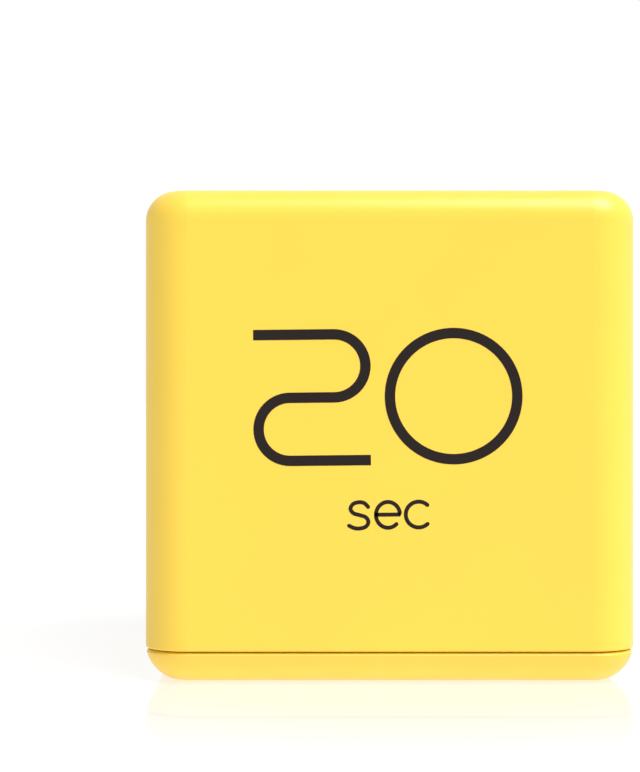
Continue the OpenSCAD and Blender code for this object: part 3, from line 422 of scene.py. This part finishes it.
ACRYLIC_CLEAR = (0.96, 0.98, 0.98, 1)
ACRYLIC_SHADE = (0.93, 0.95, 0.95, 1)
ACRYLIC_IOR = 1.49
SMEAR_SCALE, SMEAR_DETAIL = 90.0, 5.0
SMEAR_START, SMEAR_FULL = 0.45, 0.8
WINDOW_POLISHED, WINDOW_SMEARED = 0.02, 0.09
TAPE_BLACK = (0.012, 0.012, 0.013, 1)

clear_acrylic = bpy.data.materials.new("clear_acrylic")
clear_acrylic.use_nodes = True
tree = clear_acrylic.node_tree
shader = tree.nodes["Principled BSDF"]
set_inputs(shader, {"Base Color": ACRYLIC_CLEAR, "IOR": ACRYLIC_IOR, "Transmission Weight": 1.0})
smears = noise(tree, SMEAR_SCALE, SMEAR_DETAIL)
smeared = ranged(tree, smears, SMEAR_START, SMEAR_FULL, WINDOW_POLISHED, WINDOW_SMEARED)
tree.links.new(smeared, shader.inputs["Roughness"])
# Light from the lamp passes straight through to the display.
passing = tree.nodes.new("ShaderNodeBsdfTransparent")
passing.inputs["Color"].default_value = ACRYLIC_SHADE
ray_kind = tree.nodes.new("ShaderNodeLightPath")
either = tree.nodes.new("ShaderNodeMixShader")
tree.links.new(ray_kind.outputs["Is Shadow Ray"], either.inputs[0])
tree.links.new(shader.outputs[0], either.inputs[1])
tree.links.new(passing.outputs[0], either.inputs[2])
tree.links.new(either.outputs[0], tree.nodes["Material Output"].inputs["Surface"])
dress(clear_acrylic, "window_lens")
dress(moulded("black_film", TAPE_BLACK, roughness=0.55, grain=1800.0, drift=0.3), "window_tape")


# Display glass, its segments and its holder.
# Two thin glass plates with liquid crystal between them over a grey reflector, held in a white moulded frame.
# Dark segments are switched on to read 00:20; the others show only as a faint tint.

DISPLAY_GREY = (0.28, 0.31, 0.255, 1)
SEGMENT_DARK = (0.022, 0.026, 0.024, 1)
SEGMENT_FAINT = (0.24, 0.266, 0.22, 1)
HOLDER_WHITE = (0.78, 0.78, 0.74, 1)
DISPLAY_GRAIN, DISPLAY_SPECULAR = 3500.0, 0.2
DIGIT_WIDE, DIGIT_TALL = 5.0, 10.6
DIGIT_SLANT = math.tan(math.radians(5))
DIGIT_PLACES = (-13.4, -6.6, 2.0, 8.8)
SEGMENT_THICK, SEGMENT_GAP = 1.05, 0.12
SEGMENT_LOW, SEGMENT_HIGH = 0.005, 0.02
COLON_X, COLON_Y, COLON_HALF = 0.2, 2.4, 0.6

display_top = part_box("lcd_glass")[1].z / MM


def on_display(u, v, out):
    """Where a point of the slanted display pattern lies on the glass."""
    return Vector((u + v * DIGIT_SLANT, v, display_top + out)) * MM


def add_prism(bm, place, outline, low, high):
    """Adds a flat piece with the given outline."""
    tops = [bm.verts.new(place(u, v, high)) for u, v in outline]
    feet = [bm.verts.new(place(u, v, low)) for u, v in outline]
    count = len(outline)
    bm.faces.new(tops)
    bm.faces.new(list(reversed(feet)))
    for i in range(count):
        bm.faces.new((tops[i], feet[i], feet[(i + 1) % count], tops[(i + 1) % count]))


def segment(a, b):
    """Outline of a six-sided bar from a to b with pointed ends."""
    a, b = Vector(a), Vector(b)
    along = (b - a).normalized()
    side = Vector((-along.y, along.x)) * SEGMENT_THICK / 2
    a, b = a + along * SEGMENT_GAP, b - along * SEGMENT_GAP
    inner = along * SEGMENT_THICK / 2
    return [a, a + inner - side, b - inner - side, b, b - inner + side, a + inner + side]


def block(x, y, half_wide, half_tall):
    """Outline of an upright rectangle about a point."""
    return [(x - half_wide, y - half_tall), (x + half_wide, y - half_tall),
            (x + half_wide, y + half_tall), (x - half_wide, y + half_tall)]


low_y, mid_y, top_y = -DIGIT_TALL / 2, 0.0, DIGIT_TALL / 2
bars = {
    "a": ((0, top_y), (DIGIT_WIDE, top_y)),
    "b": ((DIGIT_WIDE, mid_y), (DIGIT_WIDE, top_y)),
    "c": ((DIGIT_WIDE, low_y), (DIGIT_WIDE, mid_y)),
    "d": ((0, low_y), (DIGIT_WIDE, low_y)),
    "e": ((0, low_y), (0, mid_y)),
    "f": ((0, mid_y), (0, top_y)),
    "g": ((0, mid_y), (DIGIT_WIDE, mid_y)),
}
switched_on = {"0": "abcdef", "2": "abged"}
segments_on, segments_off = bmesh.new(), bmesh.new()
for start, digit in zip(DIGIT_PLACES, "0020"):
    for bar, ends in bars.items():
        chosen = segments_on if bar in switched_on[digit] else segments_off
        outline = [(p.x + start, p.y) for p in segment(*ends)]
        add_prism(chosen, on_display, outline, SEGMENT_LOW, SEGMENT_HIGH)
for dot_y in (-COLON_Y, COLON_Y):
    dot = block(COLON_X, dot_y, COLON_HALF, COLON_HALF)
    add_prism(segments_on, on_display, dot, SEGMENT_LOW, SEGMENT_HIGH)
display_reflector = moulded("display_reflector", DISPLAY_GREY, roughness=0.3, grain=DISPLAY_GRAIN, drift=0.12,
                            specular=DISPLAY_SPECULAR)
dark_segments = moulded("dark_segments", SEGMENT_DARK, roughness=0.35, grain=DISPLAY_GRAIN, drift=0.2,
                        specular=DISPLAY_SPECULAR)
faint_segments = moulded("faint_segments", SEGMENT_FAINT, roughness=0.3, grain=DISPLAY_GRAIN, drift=0.12,
                         specular=DISPLAY_SPECULAR)
dress(display_reflector, "lcd_glass")
finish_piece("display_segments_on", segments_on, dark_segments, "case")
finish_piece("display_segments_off", segments_off, faint_segments, "case")
dress(moulded("holder_plastic", HOLDER_WHITE, roughness=0.5, grain=1600.0, drift=0.08), "lcd_holder")


# Conductive rubber strips.
# Silicone rubber in hair-thin layers, every other one filled with carbon, cut from a block.
# They are squeezed between the display glass and the board and carry its signals.

RUBBER_GREY = (0.16, 0.15, 0.14, 1)
CARBON_BLACK = (0.012, 0.012, 0.012, 1)
LAYER_SCALE = 1750.0

layered_rubber = moulded("layered_rubber", RUBBER_GREY, roughness=0.75, grain=2400.0, drift=0.2)
tree, shader, surface = opened(layered_rubber)
layers = tree.nodes.new("ShaderNodeTexWave")
layers.inputs["Scale"].default_value = LAYER_SCALE
tree.links.new(own_place(tree), layers.inputs["Vector"])
carbon = laid_over(tree, layers.outputs["Fac"], surface.outputs["Color"], CARBON_BLACK)
tree.links.new(carbon, shader.inputs["Base Color"])
dress(layered_rubber, "zebra_strip_front", "zebra_strip_rear")


# Main board and switch board.
# Glass-fibre laminate with etched copper under green solder mask; tracks show as paler lines.
# The main board is screwed to posts in the shell, the small one to posts on the base cover.

MASK_GREEN = (0.02, 0.12, 0.045, 1)
TRACK_GREEN = (0.05, 0.22, 0.08, 1)
TRACK_PATCHES, TRACK_PITCH, TRACK_EDGE, TRACK_TURNS = 130.0, 240.0, 0.72, 0.5

solder_mask = moulded("solder_mask", MASK_GREEN, roughness=0.35, grain=3000.0, drift=0.2)
tree, shader, surface = opened(solder_mask)
board_place = own_place(tree)
patches = tree.nodes.new("ShaderNodeTexVoronoi")
patches.inputs["Scale"].default_value = TRACK_PATCHES
tree.links.new(board_place, patches.inputs["Vector"])
patch_kind = tree.nodes.new("ShaderNodeSeparateColor")
tree.links.new(patches.outputs["Color"], patch_kind.inputs[0])
runs = []
for direction in ("X", "Y"):
    wave = tree.nodes.new("ShaderNodeTexWave")
    wave.bands_direction = direction
    wave.inputs["Scale"].default_value = TRACK_PITCH
    tree.links.new(board_place, wave.inputs["Vector"])
    runs.append(maths(tree, "GREATER_THAN", wave.outputs["Fac"], TRACK_EDGE))
turned = maths(tree, "GREATER_THAN", patch_kind.outputs[0], TRACK_TURNS)
tracks = maths(tree, "ADD", maths(tree, "MULTIPLY", runs[0], turned),
               maths(tree, "MULTIPLY", runs[1], maths(tree, "SUBTRACT", 1.0, turned)))
tree.links.new(laid_over(tree, tracks, surface.outputs["Color"], TRACK_GREEN), shader.inputs["Base Color"])
dress(solder_mask, "main_board", "switch_board")


# Parts soldered to the main board.
# A blob of cast black resin covers the controller chip; round it sit moulded resin parts and a sleeved
# capacitor. The clock crystal is a small drawn steel can.

CAST_BLACK = (0.014, 0.014, 0.016, 1)
CAST_DEPTH = 0.03
RESIN_BLACK = (0.02, 0.02, 0.022, 1)
SLEEVE_BLUE = (0.03, 0.05, 0.13, 1)
STEEL = (0.62, 0.63, 0.64, 1)

dress(moulded("cast_resin", CAST_BLACK, roughness=0.3, grain=700.0, drift=0.3, depth=CAST_DEPTH), "chip_blob")
dress(moulded("part_resin", RESIN_BLACK, roughness=0.6, grain=2600.0, drift=0.2),
      "drive_transistor", "chip_resistors", "buzzer_coil")
dress(moulded("shrunk_sleeve", SLEEVE_BLUE, roughness=0.28, grain=900.0, drift=0.15), "storage_capacitor")
drawn_steel = metal("drawn_steel", STEEL, roughness=0.22)
dress(drawn_steel, "clock_crystal")


# Tilt sensor.
# A black moulding with a round race, a steel ball that rolls in it and a pressed steel lid.
# The ball's place tells the controller which side of the cube is up.

MOULDING_BLACK = (0.025, 0.025, 0.027, 1)

black_moulding = moulded("black_moulding", MOULDING_BLACK, roughness=0.5, grain=2200.0, drift=0.2)
dress(black_moulding, "tilt_housing")
dress(drawn_steel, "tilt_ball", "tilt_lid")


# Two AAA cells.
# A drawn steel can in a plain plastic jacket, with bare metal at both ends and a pale band at the
# positive end. They lie side by side, opposite ways round.

CELL_LENGTH = 44.5
JACKET_DARK = (0.05, 0.065, 0.075, 1)
BAND_PALE = (0.55, 0.56, 0.55, 1)
NICKEL = (0.68, 0.66, 0.6, 1)
JACKET_START, BAND_START, JACKET_END = 0.018, 0.8, 0.962

for node_name, way in (("battery_rear", -1), ("battery_front", 1)):
    jacket = moulded(node_name + "_jacket", JACKET_DARK, roughness=0.3, grain=900.0, drift=0.12)
    tree, shader, surface = opened(jacket)
    low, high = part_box(node_name)
    negative_end = low.x if way > 0 else high.x
    split = tree.nodes.new("ShaderNodeSeparateXYZ")
    tree.links.new(own_place(tree), split.inputs[0])
    from_end = maths(tree, "MULTIPLY", maths(tree, "SUBTRACT", split.outputs["X"], negative_end), way)
    along = maths(tree, "DIVIDE", from_end, CELL_LENGTH * MM)
    bare = maths(tree, "ADD", maths(tree, "LESS_THAN", along, JACKET_START),
                 maths(tree, "GREATER_THAN", along, JACKET_END))
    band = maths(tree, "MULTIPLY", maths(tree, "GREATER_THAN", along, BAND_START),
                 maths(tree, "LESS_THAN", along, JACKET_END))
    banded = laid_over(tree, band, surface.outputs["Color"], BAND_PALE)
    tree.links.new(laid_over(tree, bare, banded, NICKEL), shader.inputs["Base Color"])
    tree.links.new(bare, shader.inputs["Metallic"])
    dress(jacket, node_name)


# Battery contacts and springs.
# Nickel-plated steel strip, pressed with a dimple for each positive end, and plated wire springs for the
# negative ends. They slide into the ends of the bay; their tabs come up through it to take the leads.

SPRING_STEEL = (0.64, 0.64, 0.62, 1)

plated_strip = metal("plated_strip", NICKEL, roughness=0.3)
dress(plated_strip, "contact_positive", "contact_negative", "contact_bridge")
dress(metal("spring_wire", SPRING_STEEL, roughness=0.28), "spring_negative", "spring_bridge")


# Buzzer.
# A brass disc with a thin silvered ceramic layer, which bends it when driven.
# It is glued to a ring on the base cover, over the sound holes.

BRASS = (0.6, 0.4, 0.12, 1)
CERAMIC_PALE = (0.74, 0.72, 0.66, 1)

dress(metal("disc_brass", BRASS, roughness=0.35), "buzzer_disc")
dress(moulded("silvered_ceramic", CERAMIC_PALE, roughness=0.42, grain=4000.0, drift=0.12), "buzzer_ceramic")


# Sound switch and its marks.
# A black moulded knob slides a wiper of plated strip in a folded frame, closed by brown paper laminate.
# Off, low and high are a ring, a small dot and a large dot, pad printed in the recess beside the knob.

LAMINATE_BROWN = (0.2, 0.085, 0.03, 1)
RECESS_FLOOR = 1.0
MARK_Y, MARK_STEP, MARK_SIDES = 2.55, 2.0, 32
MARK_RING, MARK_LINE, MARK_SMALL, MARK_LARGE = 0.42, 0.18, 0.25, 0.5

dress(black_moulding, "switch_knob")
dress(plated_strip, "switch_frame", "switch_wiper")
dress(moulded("paper_laminate", LAMINATE_BROWN, roughness=0.6, grain=1200.0, drift=0.3), "switch_insulator")
knob_low, knob_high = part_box("switch_knob")
knob_x = (knob_low.x + knob_high.x) / 2 / MM
knob_y = (knob_low.y + knob_high.y) / 2 / MM


def on_recess(u, v, out):
    """Where a point of the switch marks lies, measured from the knob's middle."""
    return Vector((knob_x + u, knob_y + v, RECESS_FLOOR - out)) * MM


def mark_circle(across, radius):
    """Closed circle beside the knob."""
    return arc(across, MARK_Y, radius, radius, 0, 360, MARK_SIDES)


bm = bmesh.new()
add_stroke(bm, on_recess, mark_circle(-MARK_STEP, MARK_RING), MARK_LINE, INK_LOW, INK_HIGH, closed=True)
for across, radius in ((0.0, MARK_SMALL), (MARK_STEP, MARK_LARGE)):
    add_prism(bm, on_recess, mark_circle(across, radius)[:-1], INK_LOW, INK_HIGH)
finish_piece("switch_marks", bm, ink, "case")


# Battery door marks.
# Moulded with the door, in its own plastic: an arrowhead outside points to the latch, and plus and minus
# signs inside show how the cells lie. All stand about 0.15 mm proud.

DOOR_OUTSIDE, DOOR_INSIDE = 0.2, 1.8
DOOR_ARROW = [(14.0, 0), (10.5, 3.0), (9.3, 3.0), (12.8, 0), (9.3, -3.0), (10.5, -3.0)]
CELL_OFF, SIGN_X, SIGN_LONG, SIGN_THIN = 5.5, 17.0, 2.0, 0.4
# The foot of each mark sits in the door, and the plus sign's crossing bar is a hair higher than the other.
RAISED_LOW, ARROW_HIGH, SIGN_HIGH, CROSSING_HIGH = -0.05, 0.16, 0.15, 0.154

door_low, door_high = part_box("battery_door")
door_y = (door_low.y + door_high.y) / 2 / MM


def on_door_outside(u, v, out):
    """Where a point of the arrowhead lies, measured from the door's middle line."""
    return Vector((u, door_y + v, DOOR_OUTSIDE - out)) * MM


def on_door_inside(u, v, out):
    """Where a point of the plus and minus signs lies, measured from the door's middle line."""
    return Vector((u, door_y + v, DOOR_INSIDE + out)) * MM


bm = bmesh.new()
add_prism(bm, on_door_outside, DOOR_ARROW, RAISED_LOW, ARROW_HIGH)
for row, plus_end in ((CELL_OFF, -1), (-CELL_OFF, 1)):
    plus_x, minus_x = plus_end * SIGN_X, -plus_end * SIGN_X
    add_prism(bm, on_door_inside, block(plus_x, row, SIGN_LONG, SIGN_THIN), RAISED_LOW, SIGN_HIGH)
    add_prism(bm, on_door_inside, block(plus_x, row, SIGN_THIN, SIGN_LONG), RAISED_LOW, CROSSING_HIGH)
    add_prism(bm, on_door_inside, block(minus_x, row, SIGN_LONG, SIGN_THIN), RAISED_LOW, SIGN_HIGH)
finish_piece("door_marks", bm, case_plastic, "battery_door")


# Leads.
# Stranded copper in extruded plastic insulation, soldered to pads and tabs.
# Red and black come from the cells and the buzzer, white and orange from the sound switch.

LEAD_RED = (0.45, 0.02, 0.02, 1)
LEAD_BLACK = (0.015, 0.015, 0.016, 1)
LEAD_WHITE = (0.75, 0.72, 0.66, 1)
LEAD_ORANGE = (0.65, 0.2, 0.03, 1)

lead_colors = {
    "lead_battery_plus": LEAD_RED,
    "lead_battery_minus": LEAD_BLACK,
    "lead_switch_low": LEAD_WHITE,
    "lead_switch_high": LEAD_ORANGE,
    "lead_buzzer_brass": LEAD_BLACK,
    "lead_buzzer_ceramic": LEAD_RED,
}
for lead_name, color in lead_colors.items():
    dress(moulded(lead_name + "_insulation", color, roughness=0.45, grain=1400.0, drift=0.15), lead_name)


# Floor.
# A softly lit white acrylic sheet that the cube stands on, glossy near the cube and dull further out.
# It takes the cube's soft shadow.

WHITE = (1, 1, 1, 1)
FLOOR_SIZE = 4.0
FLOOR_WHITE, FLOOR_GLOW = (0.35, 0.35, 0.35, 1), 0.82
FLOOR_SEEN_WHITE, FLOOR_SEEN_GLOW = (0.2, 0.2, 0.2, 1), 0.86
FLOOR_DEPTH, FLOOR_STRENGTH = 0.001, 0.02
GLOSS_ROUGHNESS, GLOSS_IOR = 0.06, 1.45
GLOSS_NEAR, GLOSS_FAR, GLOSS_MOST = 0.045, 0.105, 0.75
HALF_BOUNCE = 0.5


def seen_directly(tree):
    """1 for rays from the camera, a mirror or glass, which see the white surroundings, else 0."""
    ray_kind = tree.nodes.new("ShaderNodeLightPath")
    clear = maths(tree, "MAXIMUM", ray_kind.outputs["Is Glossy Ray"], ray_kind.outputs["Is Transmission Ray"])
    unscattered = maths(tree, "LESS_THAN", ray_kind.outputs["Diffuse Depth"], HALF_BOUNCE)
    clear = maths(tree, "MULTIPLY", clear, unscattered)
    return maths(tree, "MAXIMUM", ray_kind.outputs["Is Camera Ray"], clear)


bm = bmesh.new()
bmesh.ops.create_grid(bm, x_segments=1, y_segments=1, size=FLOOR_SIZE)
floor_mesh = bpy.data.meshes.new("floor")
bm.to_mesh(floor_mesh)
bm.free()
floor = bpy.data.objects.new("floor", floor_mesh)
bpy.context.scene.collection.objects.link(floor)
floor_sheet = moulded("floor_sheet", FLOOR_WHITE, roughness=0.5, grain=40.0, drift=0.01,
                      depth=FLOOR_DEPTH, strength=FLOOR_STRENGTH, specular=0.0)
floor_mesh.materials.append(floor_sheet)
tree, shader, _ = opened(floor_sheet)
set_inputs(shader, {"Emission Color": WHITE, "Emission Strength": FLOOR_GLOW})
seen = tree.nodes.new("ShaderNodeBsdfPrincipled")
set_inputs(seen, {"Base Color": FLOOR_SEEN_WHITE, "Specular IOR Level": 0.0,
                  "Emission Color": WHITE, "Emission Strength": FLOOR_SEEN_GLOW,
                  "Coat Roughness": GLOSS_ROUGHNESS, "Coat IOR": GLOSS_IOR})
away = tree.nodes.new("ShaderNodeVectorMath")
away.operation = "LENGTH"
tree.links.new(own_place(tree), away.inputs[0])
gloss = ranged(tree, away.outputs["Value"], GLOSS_NEAR, GLOSS_FAR, GLOSS_MOST, 0.0, smooth=True)
tree.links.new(gloss, seen.inputs["Coat Weight"])
either = tree.nodes.new("ShaderNodeMixShader")
tree.links.new(seen_directly(tree), either.inputs[0])
tree.links.new(shader.outputs[0], either.inputs[1])
tree.links.new(seen.outputs[0], either.inputs[2])
tree.links.new(either.outputs[0], tree.nodes["Material Output"].inputs["Surface"])


# Light.
# Even white light from all round and one soft sun above, in front and to the right.
# Glass doesn't see the sun itself, so the display under the window isn't lit by it twice.

SKY_LIGHT, SKY_SEEN = 0.26, 1.0
SUN_WAY = Vector((0.4, -0.345, 0.85)).normalized()
SUN_ENERGY, SUN_ANGLE = 3.5, 40

world = bpy.data.worlds.new("even_light")
bpy.context.scene.world = world
world.use_nodes = True
tree = world.node_tree
sky = tree.nodes["Background"]
sky.inputs["Color"].default_value = WHITE
more = maths(tree, "MULTIPLY", seen_directly(tree), SKY_SEEN - SKY_LIGHT)
tree.links.new(maths(tree, "ADD", more, SKY_LIGHT), sky.inputs["Strength"])

sun = bpy.data.lights.new("soft_sun", "SUN")
sun.energy = SUN_ENERGY
sun.angle = math.radians(SUN_ANGLE)
sun_object = bpy.data.objects.new("soft_sun", sun)
sun_object.rotation_euler = SUN_WAY.to_track_quat("Z", "Y").to_euler()
sun_object.visible_transmission = False
bpy.context.scene.collection.objects.link(sun_object)


# Camera.
# It looks straight at the front side, a little above the middle of the cube and to the left of it.

CAMERA_PLACE = (-9.4, -303.0, 39.7)
CAMERA_LENS, CAMERA_SENSOR = 94.9, 36.0
CAMERA_NEAREST, CAMERA_FURTHEST = 0.01, 20.0

camera_data = bpy.data.cameras.new("camera")
camera_data.lens = CAMERA_LENS
camera_data.sensor_width = CAMERA_SENSOR
camera_data.clip_start = CAMERA_NEAREST
camera_data.clip_end = CAMERA_FURTHEST
camera = bpy.data.objects.new("camera", camera_data)
camera.location = [part * MM for part in CAMERA_PLACE]
camera.rotation_euler = (math.pi / 2, 0, 0)
bpy.context.scene.collection.objects.link(camera)
bpy.context.scene.camera = camera
bpy.context.scene.view_settings.view_transform = "Standard"
